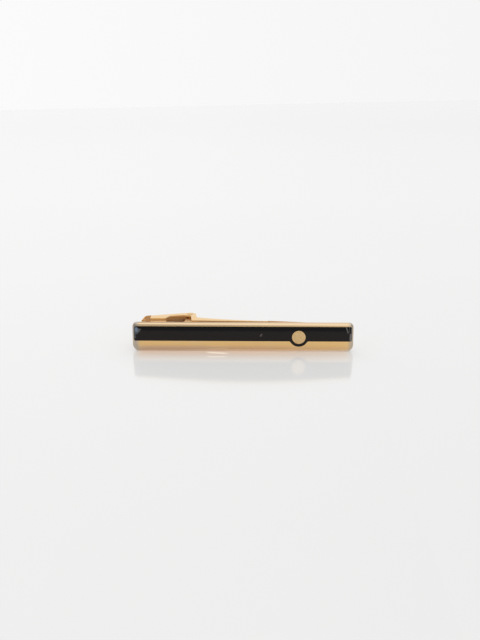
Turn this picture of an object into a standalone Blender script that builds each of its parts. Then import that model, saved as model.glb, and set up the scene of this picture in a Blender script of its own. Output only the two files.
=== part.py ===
"""Tie clip: an enamelled bar with a spring alligator clip hinged on its back.

The bar stands on its lower long edge. X runs along the bar, -Y is the way its
face looks and +Z is up. The origin is at the middle of the lower edge.
Lengths are in metres.
"""

import math
from collections import namedtuple

import bmesh
import bpy
import numpy as np
from mathutils import Matrix, Vector

MM = 0.001

# Bar, with its recess for the enamel
BAR_LENGTH = 57.0 * MM
BAR_HEIGHT = 7.4 * MM
BAR_THICKNESS = 1.8 * MM
TOP_CORNER_RADIUS = 1.0 * MM
BOTTOM_CORNER_RADIUS = 1.7 * MM
FRONT_EDGE_RADIUS = 0.8 * MM
BACK_EDGE_RADIUS = 0.3 * MM

# Enamel stripe, with the bulge round the gold disc
STRIPE_HEIGHT = 3.9 * MM
STRIPE_BELOW_TOP = 0.76 * MM
STRIPE_END_RIM = 0.4 * MM
STRIPE_CORNER_RADIUS = 0.5 * MM
DISC_RADIUS = 1.73 * MM
DISC_FROM_END = 14.08 * MM
DISC_BELOW_STRIPE_TOP = 2.82 * MM
ENAMEL_RING = 0.76 * MM
BULGE_FILLET = 0.5 * MM
ENAMEL_DEPTH = 0.4 * MM
ENAMEL_GAP = 0.015 * MM

# Sheet metal of the clip
SHEET = 0.4 * MM
INNER_BEND_RADIUS = 0.05 * MM
LEAST_FLAT = 0.004 * MM
EASED_EDGE = 0.05 * MM
CLIP_WIDTH = 7.0 * MM
EAR_CLEARANCE = 0.1 * MM
EAR_SIDE_GAP = 0.7 * MM
SOLDER_GAP = 0.02 * MM

# Hinge, with its pin measured from the bar's left end and from its back
PIN_FROM_END = 14.3 * MM
PIN_RISE = 9.1 * MM
PIN_RADIUS = 0.45 * MM
PIN_HEAD_RADIUS = 0.8 * MM
PIN_HEAD_HEIGHT = 0.13 * MM
RUNNING_CLEARANCE = 0.04 * MM
KNUCKLE_CLEARANCE = 0.17 * MM
EAR_SPREAD = 0.5 * MM

# Bracket on the back of the bar, whose ears stand inside the arm
BRACKET_BEHIND_LIP = 2.3 * MM
BRACKET_OVERHANG = 0.9 * MM
SPRING_WALL_START = 6.1 * MM
SPRING_WALL_HEIGHT = 4.1 * MM
SPRING_WALL_RISE = 0.8 * MM
SPRING_WALL_INSET = 0.55 * MM
RAIL_HEIGHT = 0.9 * MM

# Finger-piece, measured left from the pin, and from its lip where the name says so
LIP_REACH = 12.3 * MM
LIP_RISE = 2.5 * MM
LIP_LEAN = 0.45 * MM
LIP_RADIUS = 1.7 * MM
FINGER_RISE = 7.0 * MM
FLANGE_BEHIND_LIP = 2.0 * MM
DEEP_FLANGE_START = 6.4 * MM
DEEP_FLANGE_SLOPE = 1.3 * MM
DEEP_FLANGE_RISE = 4.3 * MM
FINGER_FLANGE = 2.4 * MM

# Cheeks over the pin, measured left and right from it
CHEEK_REACH = 2.7 * MM
CHEEK_END = 0.25 * MM
CHEEK_SLOPE = 0.6 * MM

# Jaw, whose tip is measured from the bar's right end
JAW_ROOT_RISE = 5.8 * MM
JAW_ROOT_RADIUS = 0.7 * MM
JAW_TIP_FROM_END = 2.5 * MM
JAW_TIP_RISE = 1.15 * MM
JAW_TIP_RADIUS = 0.55 * MM
JAW_TIP_WIDTH = 6.2 * MM
JAW_SWEEP = 2.6
JAW_FLANGE_RISE = 2.2 * MM
JAW_FLANGE_LENGTH = 20.6 * MM
JAW_FLANGE_END_RISE = 1.35 * MM
JAW_BITE_GAP = 0.04 * MM
TOOTH_DEPTH = 0.45 * MM
TOOTH_PITCH = 1.0 * MM
TOOTH_FLAT = 0.1 * MM
TOOTH_INSET = 0.1 * MM

# Torsion spring round the pin
WIRE_RADIUS = 0.25 * MM
SPRING_TURNS = 3
SPRING_END_GAP = 0.15 * MM
SPRING_PIN_GAP = 0.08 * MM
SPRING_SEAT_GAP = 0.03 * MM
FIXED_LEG_REACH = 6.8 * MM
MOVING_LEG_REACH = 7.8 * MM
COIL_POINTS = 10

# Mesh fineness
ARC_STEPS = 7
BEND_STEPS = 3
WEB_STEPS = 4
KNUCKLE_STEP = math.radians(12.0)
SWEEP_STEPS = 26
RAIL_STEPS = 7
SLOPE_STEPS = 5
ROUNDING_STEPS = 5
ROUND_STEPS = 32
WELD = 0.001 * MM
FLAT_ANGLE = math.radians(0.5)
FOLD_ANGLE = math.radians(60.0)
SMOOTH_ANGLE = math.radians(35.0)

# Places and sizes that the pieces share
BAR_END = BAR_LENGTH / 2.0
BAR_BACK = BAR_THICKNESS / 2.0
MIDDLE_Z = BAR_HEIGHT / 2.0
PIN_X = PIN_FROM_END - BAR_END
PIN_Y = BAR_BACK + PIN_RISE
BEND_RADIUS = SHEET + INNER_BEND_RADIUS
COIL_RADIUS = PIN_RADIUS + SPRING_PIN_GAP + WIRE_RADIUS
KNUCKLE_RADIUS = COIL_RADIUS + WIRE_RADIUS + KNUCKLE_CLEARANCE + SHEET
EAR_RADIUS = KNUCKLE_RADIUS - SHEET - EAR_CLEARANCE
EAR_FOOT = EAR_RADIUS + EAR_SPREAD
EAR_HALF_WIDTH = CLIP_WIDTH / 2.0 - SHEET - EAR_SIDE_GAP
SPRING_WALL_HALF_WIDTH = CLIP_WIDTH / 2.0 - SPRING_WALL_INSET
LIP_X = PIN_X - LIP_REACH
SPRING_WALL_X = PIN_X - SPRING_WALL_START
FINGER_FLANGE_X = LIP_X + FLANGE_BEHIND_LIP
DEEP_FLANGE_X = PIN_X - DEEP_FLANGE_START
CHEEK_LEFT_X = PIN_X - CHEEK_REACH
CHEEK_RIGHT_X = PIN_X + CHEEK_END
JAW_FLANGE_END_X = PIN_X + JAW_FLANGE_LENGTH
JAW_TIP_X = BAR_END - JAW_TIP_FROM_END

GOLD = (0.83, 0.60, 0.28, 1.0)
DARK_GOLD = (0.75, 0.52, 0.24, 1.0)
BLACK = (0.012, 0.012, 0.014, 1.0)
STEEL = (0.62, 0.60, 0.56, 1.0)

Station = namedtuple("Station", "x y toward half_width wall")


def clear_scene():
    for obj in list(bpy.data.objects):
        bpy.data.objects.remove(obj, do_unlink=True)


def new_collection(name, hidden=False):
    collection = bpy.data.collections.new(name)
    bpy.context.scene.collection.children.link(collection)
    collection.hide_render = hidden
    return collection


def new_material(name, colour, roughness, metallic):
    material = bpy.data.materials.new(name)
    material.use_nodes = True
    shader = material.node_tree.nodes["Principled BSDF"]
    shader.inputs["Base Color"].default_value = colour
    shader.inputs["Roughness"].default_value = roughness
    shader.inputs["Metallic"].default_value = metallic
    return material


def add_object(name, data, collection, material=None):
    obj = bpy.data.objects.new(name, data)
    collection.objects.link(obj)
    if material:
        data.materials.append(material)
    return obj


def as_cutter(obj):
    obj.hide_render = True
    obj.display_type = "WIRE"
    return obj


def shade(obj):
    obj.data.shade_smooth()
    obj.data.set_sharp_from_angle(angle=SMOOTH_ANGLE)


def arc(centre, radius, start, end, steps=ARC_STEPS):
    """Points of an arc, from the angle start to the angle end, in degrees."""
    angles = np.radians(np.linspace(start, end, steps + 1))
    return [(centre[0] + radius * math.cos(a), centre[1] + radius * math.sin(a)) for a in angles]


def bar_outline():
    """The bar's face outline in X and Z, anticlockwise from its lower left corner."""
    side = BAR_END
    low = BOTTOM_CORNER_RADIUS
    high = TOP_CORNER_RADIUS
    points = arc((-side + low, low), low, 180.0, 270.0)
    points += arc((side - low, low), low, 270.0, 360.0)
    points += arc((side - high, BAR_HEIGHT - high), high, 0.0, 90.0)
    points += arc((-side + high, BAR_HEIGHT - high), high, 90.0, 180.0)
    return points


def stripe_outline(inset=0.0):
    """The enamel stripe in X and Z, with the bulge round the disc, drawn in by inset."""
    side = BAR_END - STRIPE_END_RIM - inset
    top = BAR_HEIGHT - STRIPE_BELOW_TOP - inset
    bottom = BAR_HEIGHT - STRIPE_BELOW_TOP - STRIPE_HEIGHT + inset
    corner = STRIPE_CORNER_RADIUS - inset
    disc = disc_centre()
    bulge = DISC_RADIUS + ENAMEL_RING - inset
    fillet = BULGE_FILLET + inset
    fillet_z = bottom - fillet
    fillet_x = math.sqrt((bulge + fillet) ** 2 - (disc[1] - fillet_z) ** 2)
    lean = math.degrees(math.atan2(disc[1] - fillet_z, fillet_x))
    points = arc((-side + corner, bottom + corner), corner, 180.0, 270.0)
    points += arc((disc[0] - fillet_x, fillet_z), fillet, 90.0, lean)
    points += arc(disc, bulge, 180.0 + lean, 360.0 - lean, 3 * ARC_STEPS)[1:-1]
    points += arc((disc[0] + fillet_x, fillet_z), fillet, 180.0 - lean, 90.0)
    points += arc((side - corner, bottom + corner), corner, 270.0, 360.0)
    points += arc((side - corner, top - corner), corner, 0.0, 90.0)
    points += arc((-side + corner, top - corner), corner, 90.0, 180.0)
    return points


def disc_centre():
    return (BAR_END - DISC_FROM_END, BAR_HEIGHT - STRIPE_BELOW_TOP - DISC_BELOW_STRIPE_TOP)


def disc_outline(radius):
    return arc(disc_centre(), radius, 0.0, 360.0, 6 * ARC_STEPS)[:-1]


def upright_plate(name, outlines, front, back, collection, material=None):
    """A flat plate with its outlines in X and Z, between the planes Y = front and Y = back."""
    curve = bpy.data.curves.new(name, "CURVE")
    curve.dimensions = "2D"
    curve.fill_mode = "BOTH"
    curve.extrude = (back - front) / 2.0
    for outline in outlines:
        spline = curve.splines.new("POLY")
        spline.points.add(len(outline) - 1)
        for point, (x, z) in zip(spline.points, outline):
            point.co = (x, z, 0.0, 1.0)
        spline.use_cyclic_u = True
    drawn = add_object(name + "_curve", curve, collection)
    drawn.rotation_euler = (math.pi / 2.0, 0.0, 0.0)
    drawn.location = (0.0, (front + back) / 2.0, 0.0)
    return as_mesh(name, drawn, collection, material)


def as_mesh(name, drawn, collection, material=None):
    """A curve object made a mesh object with welded caps and plain flat faces."""
    bpy.context.view_layer.update()
    graph = bpy.context.evaluated_depsgraph_get()
    mesh = bpy.data.meshes.new_from_object(drawn.evaluated_get(graph))
    mesh.transform(drawn.matrix_world)
    bpy.data.objects.remove(drawn, do_unlink=True)
    mesh.name = name
    work = bmesh.new()
    work.from_mesh(mesh)
    bmesh.ops.remove_doubles(work, verts=work.verts, dist=WELD)
    bmesh.ops.dissolve_limit(work, angle_limit=FLAT_ANGLE, verts=work.verts, edges=work.edges)
    bmesh.ops.recalc_face_normals(work, faces=work.faces)
    work.to_mesh(mesh)
    work.free()
    mesh.materials.clear()
    return add_object(name, mesh, collection, material)


def round_long_edges(obj, front, back):
    """Rounds the long edges at Y = front by their full radius, and those at the back by a smaller one."""
    work = bmesh.new()
    work.from_mesh(obj.data)
    weight = work.edges.layers.float.new("bevel_weight_edge")
    for edge in work.edges:
        depths = [vert.co.y for vert in edge.verts]
        if max(abs(depth - front) for depth in depths) < EASED_EDGE:
            edge[weight] = 1.0
        elif max(abs(depth - back) for depth in depths) < EASED_EDGE:
            edge[weight] = BACK_EDGE_RADIUS / FRONT_EDGE_RADIUS
    work.to_mesh(obj.data)
    work.free()
    bevel = obj.modifiers.new("rounded_edges", "BEVEL")
    bevel.limit_method = "WEIGHT"
    bevel.width = FRONT_EDGE_RADIUS
    bevel.segments = ROUNDING_STEPS


def boolean(obj, operation, other, name):
    modifier = obj.modifiers.new(name, "BOOLEAN")
    modifier.operation = operation
    modifier.solver = "EXACT"
    modifier.object = other


def build_bar(parts, cutters, gold):
    bar = upright_plate("bar", [bar_outline()], -BAR_BACK, BAR_BACK, parts, gold)
    round_long_edges(bar, -BAR_BACK, BAR_BACK)
    pocket = upright_plate(
        "enamel_pocket",
        [stripe_outline(), disc_outline(DISC_RADIUS)],
        -BAR_BACK - ENAMEL_DEPTH,
        -BAR_BACK + ENAMEL_DEPTH,
        cutters,
    )
    boolean(bar, "DIFFERENCE", as_cutter(pocket), "enamel_recess")
    return bar


def build_enamel(parts, cutters, black):
    """The fill takes the bar's own rounded face, so that it lies flush at its ends too."""
    enamel = upright_plate("enamel_inlay", [bar_outline()], -BAR_BACK, BAR_BACK, parts, black)
    round_long_edges(enamel, -BAR_BACK, BAR_BACK)
    fill = upright_plate(
        "enamel_fill",
        [stripe_outline(ENAMEL_GAP), disc_outline(DISC_RADIUS + ENAMEL_GAP)],
        -BAR_BACK - ENAMEL_DEPTH,
        -BAR_BACK + ENAMEL_DEPTH - ENAMEL_GAP,
        cutters,
    )
    boolean(enamel, "INTERSECT", as_cutter(fill), "enamel_shape")
    return enamel


def section(station):
    """A folded section: wall, bend, web, bend and wall, from the upper edge to the lower."""
    x, y, toward, half, wall = station
    radius = min(BEND_RADIUS, wall - LEAST_FLAT)
    upper = [(wall, half)]
    for step in range(BEND_STEPS + 1):
        turn = math.pi / 2.0 * step / BEND_STEPS
        upper.append((radius * (1.0 - math.sin(turn)), half - radius * (1.0 - math.cos(turn))))
    flat = half - radius
    web = [(0.0, flat * (1.0 - 2.0 * step / WEB_STEPS)) for step in range(1, WEB_STEPS)]
    lower = [(depth, -height) for depth, height in reversed(upper)]
    points = upper + web + lower
    return [(x + toward[0] * depth, y + toward[1] * depth, MIDDLE_Z + z) for depth, z in points]


def folded_sheet(name, stations, collection, material):
    """A loft of folded sections, given the sheet's thickness on its inner side."""
    work = bmesh.new()
    rows = [[work.verts.new(point) for point in section(station)] for station in stations]
    for first, second in zip(rows, rows[1:]):
        for column in range(len(first) - 1):
            corners = (first[column], second[column], second[column + 1], first[column + 1])
            work.faces.new(corners)
    mesh = bpy.data.meshes.new(name)
    work.to_mesh(mesh)
    work.free()
    obj = add_object(name, mesh, collection, material)
    sheet = obj.modifiers.new("sheet", "SOLIDIFY")
    sheet.thickness = SHEET
    sheet.offset = -1.0
    sheet.use_even_offset = True
    sheet.use_quality_normals = True
    eased = obj.modifiers.new("eased_edges", "BEVEL")
    eased.limit_method = "ANGLE"
    eased.angle_limit = FOLD_ANGLE
    eased.width = EASED_EDGE
    eased.segments = 1
    return obj


def pin_hole(name, radius, collection):
    work = bmesh.new()
    bmesh.ops.create_cone(
        work,
        cap_ends=True,
        segments=ROUND_STEPS,
        radius1=radius,
        radius2=radius,
        depth=2.0 * CLIP_WIDTH,
    )
    bmesh.ops.translate(work, verts=work.verts, vec=(PIN_X, PIN_Y, MIDDLE_Z))
    mesh = bpy.data.meshes.new(name)
    work.to_mesh(mesh)
    work.free()
    return as_cutter(add_object(name, mesh, collection))


def ease(value, start, end):
    """A smooth step from 0 at start to 1 at end."""
    share = min(max((value - start) / (end - start), 0.0), 1.0)
    return share * share * (3.0 - 2.0 * share)


def ear_edge():
    """The ear's free edge in X and Y: two sides and a round top."""
    foot = RAIL_HEIGHT + BAR_BACK
    points = [(PIN_X - EAR_FOOT, foot)]
    points += arc((PIN_X, PIN_Y), EAR_RADIUS, 180.0, 0.0, 2 * ARC_STEPS)
    points.append((PIN_X + EAR_FOOT, foot))
    return points


def bracket_stations():
    """Right to left, so that the outer skin faces the bar."""
    floor = BAR_BACK + SOLDER_GAP
    walls = SPRING_WALL_HALF_WIDTH
    right = PIN_X + EAR_FOOT + BRACKET_OVERHANG
    ear_left = PIN_X - EAR_FOOT
    rail = BAR_BACK + RAIL_HEIGHT
    profile = [(right, rail, EAR_HALF_WIDTH), (right - SHEET, rail, EAR_HALF_WIDTH)]
    profile += [(x, y, EAR_HALF_WIDTH) for x, y in reversed(ear_edge())]
    for share in np.linspace(0.0, 1.0, RAIL_STEPS + 1)[1:]:
        x = ear_left + (SPRING_WALL_X + SHEET - ear_left) * share
        profile.append((x, rail, EAR_HALF_WIDTH + (walls - EAR_HALF_WIDTH) * ease(share, 0.0, 1.0)))
    tall = BAR_BACK + SPRING_WALL_HEIGHT
    for share in (0.0, 0.5, 1.0):
        x = SPRING_WALL_X + (LIP_X + BRACKET_BEHIND_LIP - SPRING_WALL_X) * share
        profile.append((x, tall + SPRING_WALL_RISE * (1.0 - share), walls))
    return [Station(x, floor, (0.0, 1.0), half, edge - floor) for x, edge, half in profile]


def build_bracket(parts, cutters, material):
    bracket = folded_sheet("hinge_bracket", bracket_stations(), parts, material)
    hole = pin_hole("bracket_pin_hole", PIN_RADIUS + SOLDER_GAP, cutters)
    boolean(bracket, "DIFFERENCE", hole, "pin_hole")
    return bracket


def fillet(before, corner, after, radius, steps):
    """Points of the arc that rounds a corner of a path."""
    before, corner, after = Vector(before), Vector(corner), Vector(after)
    inward = (before - corner).normalized()
    outward = (after - corner).normalized()
    half_angle = inward.angle(outward) / 2.0
    reach = radius / math.tan(half_angle)
    centre = corner + (inward + outward).normalized() * (radius / math.sin(half_angle))
    first = corner + inward * reach - centre
    turn = first.angle_signed(corner + outward * reach - centre)
    return [centre + Matrix.Rotation(-turn * step / steps, 2) @ first for step in range(steps + 1)]


def tangent_angle(point, radius, side):
    """The angle at the pin, from -90 to 270 degrees, where a line from the point touches a circle."""
    away = Vector((point[0] - PIN_X, point[1] - PIN_Y))
    angle = math.atan2(away.y, away.x) + side * math.acos(radius / away.length)
    return (angle + math.pi / 2.0) % (2.0 * math.pi) - math.pi / 2.0


def around_pin(radius, angle):
    return (PIN_X + radius * math.cos(angle), PIN_Y + radius * math.sin(angle))


def finger_bend():
    """The finger-piece's lip and corner in X and Y, then where its straight run meets the knuckle."""
    lip = (LIP_X, BAR_BACK + LIP_RISE)
    corner = (LIP_X + LIP_LEAN, BAR_BACK + FINGER_RISE)
    touch = tangent_angle(corner, KNUCKLE_RADIUS, -1.0)
    knuckle = around_pin(KNUCKLE_RADIUS, touch)
    bend = fillet(lip, corner, knuckle, LIP_RADIUS, ARC_STEPS)
    return [Vector(lip), Vector(lip).lerp(bend[0], 0.5)] + bend, Vector(knuckle), touch


def finger_path():
    """The outer skin of the finger-piece in X and Y, from its lip to the knuckle's top."""
    points, knuckle, touch = finger_bend()
    slope_end = DEEP_FLANGE_X + DEEP_FLANGE_SLOPE
    rows = [FINGER_FLANGE_X - SHEET / 2.0, FINGER_FLANGE_X, FINGER_FLANGE_X + SHEET]
    rows += list(np.linspace(DEEP_FLANGE_X, slope_end, SLOPE_STEPS + 1))
    rows += [CHEEK_LEFT_X, (CHEEK_LEFT_X + PIN_X) / 2.0]
    last = points[-1]
    for x in sorted(rows):
        if last.x < x < knuckle.x:
            points.append(last.lerp(knuckle, (x - last.x) / (knuckle.x - last.x)))
    return points, touch


def jaw_path():
    """The outer skin of the jaw in X and Y, from the knuckle to its toothed edge."""
    root = (PIN_X + KNUCKLE_RADIUS + JAW_ROOT_RADIUS / 2.0, BAR_BACK + JAW_ROOT_RISE)
    touch = tangent_angle(root, KNUCKLE_RADIUS, 1.0)
    sweep = [jaw_sweep(root, share) for share in np.linspace(0.0, 1.0, SWEEP_STEPS + 1)]
    bend = fillet(around_pin(KNUCKLE_RADIUS, touch), root, sweep[2], JAW_ROOT_RADIUS, ARC_STEPS)
    tip = (JAW_TIP_X, BAR_BACK + JAW_BITE_GAP)
    corner = (JAW_TIP_X, sweep[-1][1])
    nose = fillet(sweep[-2], corner, tip, JAW_TIP_RADIUS, ARC_STEPS)
    middle = [Vector(point) for point in sweep if bend[-1].x + SHEET < point[0] < nose[0].x - SHEET]
    return bend + middle + nose + [Vector(tip)], touch


def jaw_sweep(root, share):
    """The jaw falls fast from its root and flattens towards its tip."""
    x = root[0] + (JAW_TIP_X - root[0]) * share
    fade = (math.exp(-JAW_SWEEP * share) - math.exp(-JAW_SWEEP)) / (1.0 - math.exp(-JAW_SWEEP))
    return (x, BAR_BACK + JAW_TIP_RISE + (root[1] - BAR_BACK - JAW_TIP_RISE) * fade)


def arm_half_width(x):
    """Full width up to the end of the jaw's flanges, then narrower towards the nose."""
    full = CLIP_WIDTH / 2.0
    return full + (JAW_TIP_WIDTH / 2.0 - full) * ease(x, JAW_FLANGE_END_X, JAW_TIP_X)


def arm_free_edge(x, web):
    """Y of the flanges' free edge under the web at X, where the arm has flanges."""
    shallow = web - FINGER_FLANGE
    deep = BAR_BACK + DEEP_FLANGE_RISE
    cheek = PIN_Y - KNUCKLE_RADIUS
    jaw_share = (x - CHEEK_RIGHT_X) / (JAW_FLANGE_END_X - CHEEK_RIGHT_X)
    jaw = BAR_BACK + JAW_FLANGE_RISE + (JAW_FLANGE_END_RISE - JAW_FLANGE_RISE) * jaw_share
    left = deep + (shallow - deep) * ease(x, DEEP_FLANGE_X, DEEP_FLANGE_X + DEEP_FLANGE_SLOPE)
    left += (cheek - left) * ease(x, CHEEK_LEFT_X, PIN_X - PIN_RADIUS)
    return left + (jaw - left) * ease(x, CHEEK_RIGHT_X, CHEEK_RIGHT_X + CHEEK_SLOPE)


def arm_stations():
    """Left to right along the outer skin: finger-piece, knuckle and jaw."""
    finger, left_touch = finger_path()
    jaw, right_touch = jaw_path()
    count = math.ceil((left_touch - right_touch) / KNUCKLE_STEP)
    turns = np.linspace(left_touch, right_touch, count + 1)
    path = finger + [Vector(around_pin(KNUCKLE_RADIUS, turn)) for turn in turns] + jaw
    stations = []
    for index, point in enumerate(path):
        before = path[max(index - 1, 0)]
        after = path[min(index + 1, len(path) - 1)]
        along = (after - before).normalized()
        wall = SHEET / 2.0
        toward = (along.y, -along.x)
        if FINGER_FLANGE_X <= point.x <= JAW_FLANGE_END_X:
            wall = max(point.y - arm_free_edge(point.x, point.y), SHEET / 2.0)
            toward = (0.0, -1.0)
        stations.append(Station(point.x, point.y, toward, arm_half_width(point.x), wall))
    return stations


def tooth_notches(collection):
    """A row of bars on edge, whose lower halves cut the notches between the jaw's teeth.

    The pitch is fitted so that the outer notches always lie one inset from the jaw's sides.
    """
    span = JAW_TIP_WIDTH - 2.0 * TOOTH_INSET
    count = max(round(span / TOOTH_PITCH), 1)
    half_notch = (span / count - TOOTH_FLAT) / 2.0
    turn = Matrix.Rotation(math.pi / 2.0, 4, "Y") @ Matrix.Diagonal((half_notch, TOOTH_DEPTH, 1.0, 1.0))
    work = bmesh.new()
    for index in range(count + 1):
        z = MIDDLE_Z + span * (index / count - 0.5)
        bmesh.ops.create_cone(
            work,
            cap_ends=True,
            segments=4,
            radius1=1.0,
            radius2=1.0,
            depth=4.0 * SHEET,
            matrix=Matrix.Translation((JAW_TIP_X, BAR_BACK + JAW_BITE_GAP, z)) @ turn,
        )
    mesh = bpy.data.meshes.new("tooth_notches")
    work.to_mesh(mesh)
    work.free()
    return as_cutter(add_object("tooth_notches", mesh, collection))


def build_arm(parts, cutters, material):
    arm = folded_sheet("clip_arm", arm_stations(), parts, material)
    hole = pin_hole("arm_pin_hole", PIN_RADIUS + RUNNING_CLEARANCE, cutters)
    boolean(arm, "DIFFERENCE", hole, "pin_hole")
    boolean(arm, "DIFFERENCE", tooth_notches(cutters), "teeth")
    return arm


def build_pin(parts, material):
    """A rivet pin turned from one profile: shank, and a low dome over each cheek."""
    seat = CLIP_WIDTH / 2.0 + RUNNING_CLEARANCE
    dome = [(PIN_HEAD_RADIUS, 0.0)]
    for step in range(1, ARC_STEPS):
        turn = math.pi / 2.0 * step / ARC_STEPS
        dome.append((PIN_HEAD_RADIUS * math.cos(turn), PIN_HEAD_HEIGHT * math.sin(turn)))
    upper = [(0.0, seat + PIN_HEAD_HEIGHT)] + [(r, seat + h) for r, h in reversed(dome)]
    upper.append((PIN_RADIUS, seat))
    profile = upper + [(r, -z) for r, z in reversed(upper)]
    work = bmesh.new()
    line = [work.verts.new((radius, 0.0, z)) for radius, z in profile]
    for first, second in zip(line, line[1:]):
        work.edges.new((first, second))
    mesh = bpy.data.meshes.new("hinge_pin")
    work.to_mesh(mesh)
    work.free()
    pin = add_object("hinge_pin", mesh, parts, material)
    pin.location = (PIN_X, PIN_Y, MIDDLE_Z)
    turned = pin.modifiers.new("turned", "SCREW")
    turned.steps = ROUND_STEPS
    turned.render_steps = ROUND_STEPS
    turned.use_merge_vertices = True
    turned.merge_threshold = WELD
    turned.use_smooth_shade = True
    return pin


def least_gap(line):
    """The least gap between parts of the wire that are half a turn or more from each other."""
    order = np.arange(len(line))
    apart = np.abs(order[:, None] - order) >= COIL_POINTS // 2
    away = np.linalg.norm(line[:, None] - line, axis=2)
    return away[apart].min() - 2.0 * WIRE_RADIUS


def spring_line():
    """The wire's centre line: a leg on the bracket's floor, the coil, and a leg under the web."""
    seat = SHEET + SPRING_SEAT_GAP + WIRE_RADIUS
    floor_end = Vector((PIN_X - FIXED_LEG_REACH, BAR_BACK + SOLDER_GAP + seat))
    points, knuckle, _ = finger_bend()
    run = knuckle - points[-1]
    on_web = points[-1] + run * ((PIN_X - MOVING_LEG_REACH - points[-1].x) / run.x)
    web_end = on_web + Vector((run.y, -run.x)).normalized() * seat
    start = tangent_angle(floor_end, COIL_RADIUS, 1.0)
    end = tangent_angle(web_end, COIL_RADIUS, -1.0)
    end += 2.0 * math.pi * (SPRING_TURNS + math.ceil((start - end) / (2.0 * math.pi)))
    shares = np.linspace(0.0, 1.0, math.ceil((end - start) / (2.0 * math.pi) * COIL_POINTS) + 1)
    angles = start + (end - start) * shares
    walls = min(EAR_HALF_WIDTH, SPRING_WALL_HALF_WIDTH)
    half = walls - SHEET - SPRING_END_GAP - WIRE_RADIUS
    turns = np.stack(
        [
            PIN_X + COIL_RADIUS * np.cos(angles),
            PIN_Y + COIL_RADIUS * np.sin(angles),
            MIDDLE_Z + half * (2.0 * shares - 1.0),
        ],
        axis=1,
    )
    legs = [np.array([[*floor_end, MIDDLE_Z - half]]), np.array([[*web_end, MIDDLE_Z + half]])]
    line = np.concatenate([legs[0], turns, legs[1]])
    print(f"torsion_spring: least gap to itself {least_gap(line) / MM:.2f} mm")
    return line


def build_spring(parts, material):
    curve = bpy.data.curves.new("torsion_spring", "CURVE")
    curve.dimensions = "3D"
    curve.bevel_depth = WIRE_RADIUS
    curve.bevel_resolution = 1
    curve.use_fill_caps = True
    points = spring_line()
    spline = curve.splines.new("POLY")
    spline.points.add(len(points) - 1)
    for point, place in zip(spline.points, points):
        point.co = (*place, 1.0)
    return add_object("torsion_spring", curve, parts, material)


def move_origin(obj, place):
    """Puts an object's origin at a place without moving its shape."""
    obj.data.transform(Matrix.Translation(-Vector(place)))
    obj.location = Vector(place)


def main():
    clear_scene()
    parts = new_collection("tie_clip")
    cutters = new_collection("cutters", hidden=True)
    gold = new_material("polished gold plate", GOLD, 0.16, 1.0)
    dark_gold = new_material("gold plate of the clip", DARK_GOLD, 0.22, 1.0)
    black = new_material("black enamel", BLACK, 0.08, 0.0)
    steel = new_material("spring wire", STEEL, 0.3, 1.0)

    bar = build_bar(parts, cutters, gold)
    enamel = build_enamel(parts, cutters, black)
    bracket = build_bracket(parts, cutters, dark_gold)
    arm = build_arm(parts, cutters, dark_gold.copy())
    build_pin(parts, gold.copy())
    build_spring(parts, steel)
    move_origin(arm, (PIN_X, PIN_Y, MIDDLE_Z))
    for obj in (bar, enamel, bracket, arm):
        shade(obj)


main()
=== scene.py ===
"""Looks of a gold-plated tie clip with a black enamel stripe.

Every piece is worked out in millimetres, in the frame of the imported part, and
made a mesh in metres. The bar stands on its lower long edge: X runs along it,
-Y is the way its face looks and +Z is up.
"""

import logging
import math
from dataclasses import dataclass
from enum import Enum
from functools import reduce
from typing import Sequence, Union

import bmesh
import bpy
import numpy as np
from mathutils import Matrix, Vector


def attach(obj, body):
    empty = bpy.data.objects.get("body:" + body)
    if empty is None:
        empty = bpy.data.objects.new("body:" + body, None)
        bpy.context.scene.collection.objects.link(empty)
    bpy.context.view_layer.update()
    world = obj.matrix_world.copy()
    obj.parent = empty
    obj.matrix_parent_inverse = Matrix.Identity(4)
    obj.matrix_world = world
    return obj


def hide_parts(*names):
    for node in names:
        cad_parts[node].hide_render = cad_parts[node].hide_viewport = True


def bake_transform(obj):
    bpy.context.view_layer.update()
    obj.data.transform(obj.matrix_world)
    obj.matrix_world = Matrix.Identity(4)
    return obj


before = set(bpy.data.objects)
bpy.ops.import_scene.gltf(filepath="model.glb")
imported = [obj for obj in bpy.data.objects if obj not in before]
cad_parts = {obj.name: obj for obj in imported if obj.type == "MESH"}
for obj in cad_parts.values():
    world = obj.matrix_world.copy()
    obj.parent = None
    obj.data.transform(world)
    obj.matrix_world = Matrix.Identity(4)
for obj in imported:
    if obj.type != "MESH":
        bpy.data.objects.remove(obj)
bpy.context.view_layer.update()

MM = 0.001
ROUND_STEPS = 64
NOISE_ROUGHNESS = 0.55

Array = np.ndarray
Colour = tuple[float, float, float]
Pair = tuple[float, float]
log = logging.getLogger("tie_clip")


class Cut(Enum):
    """What a Boolean does with the second solid."""

    AWAY = "DIFFERENCE"
    KEEP = "INTERSECT"


class Slot(Enum):
    """The record's material slots."""

    PLATE = "gold_plate"
    CLIP = "gold_plate_clip"
    ENAMEL = "black_enamel"
    STEEL = "spring_steel"


# Curves and profiles


def arc(centre: Sequence[float], radius: float, start: float, end: float, steps: int) -> Array:
    """Points of an arc: the centre plus the radius times (cos a, sin a), a in even steps of degrees."""
    turn = np.radians(np.linspace(start, end, steps + 1))
    return np.asarray(centre) + radius * np.stack([np.cos(turn), np.sin(turn)], axis=1)


def in_rows(*columns: Union[Array, float]) -> Array:
    """Rows of coordinates from columns of numbers, where a single number fills its column."""
    return np.column_stack(np.broadcast_arrays(*columns))


def unit(vectors: Array) -> Array:
    """A vector, or each row of vectors, divided by its length."""
    return vectors / np.linalg.norm(vectors, axis=-1, keepdims=True)


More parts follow.
